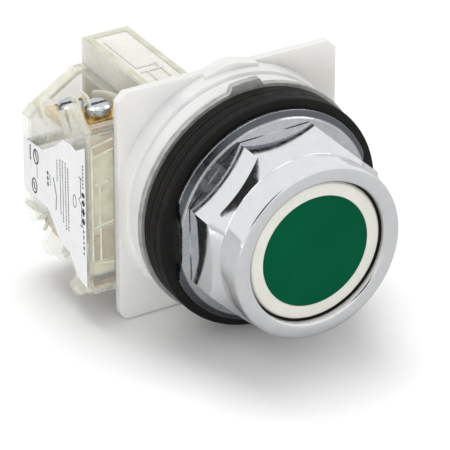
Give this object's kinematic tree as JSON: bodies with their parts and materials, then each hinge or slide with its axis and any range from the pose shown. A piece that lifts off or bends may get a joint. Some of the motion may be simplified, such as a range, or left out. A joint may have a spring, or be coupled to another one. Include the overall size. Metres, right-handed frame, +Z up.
{
  "type": "industrial push button",
  "caption": "Flush panel push button with green face, chrome octagonal ring nut, rubber gaskets, square base and one side-mounted contact block.",
  "frame": {"origin": "on the button's axis, at the front face of the foremost gasket, where the panel's back face sits", "axes": "-Y towards the user, +Y into the enclosure, +Z up, +X to the user's right"},
  "size_m": [0.0483, 0.0544, 0.0448],
  "materials": {
    "white_plastic": "satin, slightly translucent",
    "cap_plastic": "satin",
    "green_plastic": "fine matte",
    "dark_plastic": "matte",
    "slider_plastic": "matte",
    "clear_plastic": "clear, faintly yellow",
    "cream_plastic": "translucent cream",
    "label": "matte printed paper",
    "rubber": "matte",
    "chrome": "bright plated",
    "zinc": "satin plated zinc",
    "ring_steel": "dull plated steel",
    "steel": "bright zinc plated",
    "brass": "satin"
  },
  "bodies": {
    "housing": {"operator_base": "white_plastic", "threaded_barrel": "zinc", "barrel_screws": "steel", "mounting_inserts": "brass", "locating_ring": "ring_steel", "gasket_rear": "rubber", "gasket_middle": "rubber", "gasket_front": "rubber", "trim_washer": "zinc", "ring_nut": "chrome", "wiper_seal": "rubber", "return_spring": "steel", "block_case_left": "clear_plastic", "block_case_right": "cream_plastic", "block_label": "label", "carrier_spring": "steel", "contact_closed_upper": "brass", "contact_closed_lower": "brass", "contact_open_upper": "brass", "contact_open_lower": "brass", "terminal_screws": "steel", "clamp_plates": "brass", "block_screws": "steel", "case_rivets": "steel"},
    "button": {"button_cap": "cap_plastic", "colour_insert": "green_plastic", "button_stem": "cap_plastic", "actuator_yoke": "dark_plastic", "stem_clip": "steel"},
    "contact_slider": {"block_plunger": "slider_plastic", "contact_carrier": "slider_plastic", "bridge_closed": "brass", "bridge_open": "brass", "bridge_spring_closed": "steel", "bridge_spring_open": "steel"}
  },
  "joints": [
    {"name": "button_press", "type": "slide", "parent": "housing", "child": "button", "axis": [0, 1, 0], "range_m": [0, 0.004], "stiffness_N_per_m": 800, "springref_m": -0.004, "deforming": ["return_spring"]},
    {"name": "contact_travel", "type": "slide", "parent": "housing", "child": "contact_slider", "axis": [0, 1, 0], "range_m": [0, 0.004], "stiffness_N_per_m": 300, "springref_m": -0.004, "deforming": ["carrier_spring"]}
  ],
  "couplings": [
    {"joint": "contact_travel", "follows": "button_press", "ratio": 1}
  ]
}
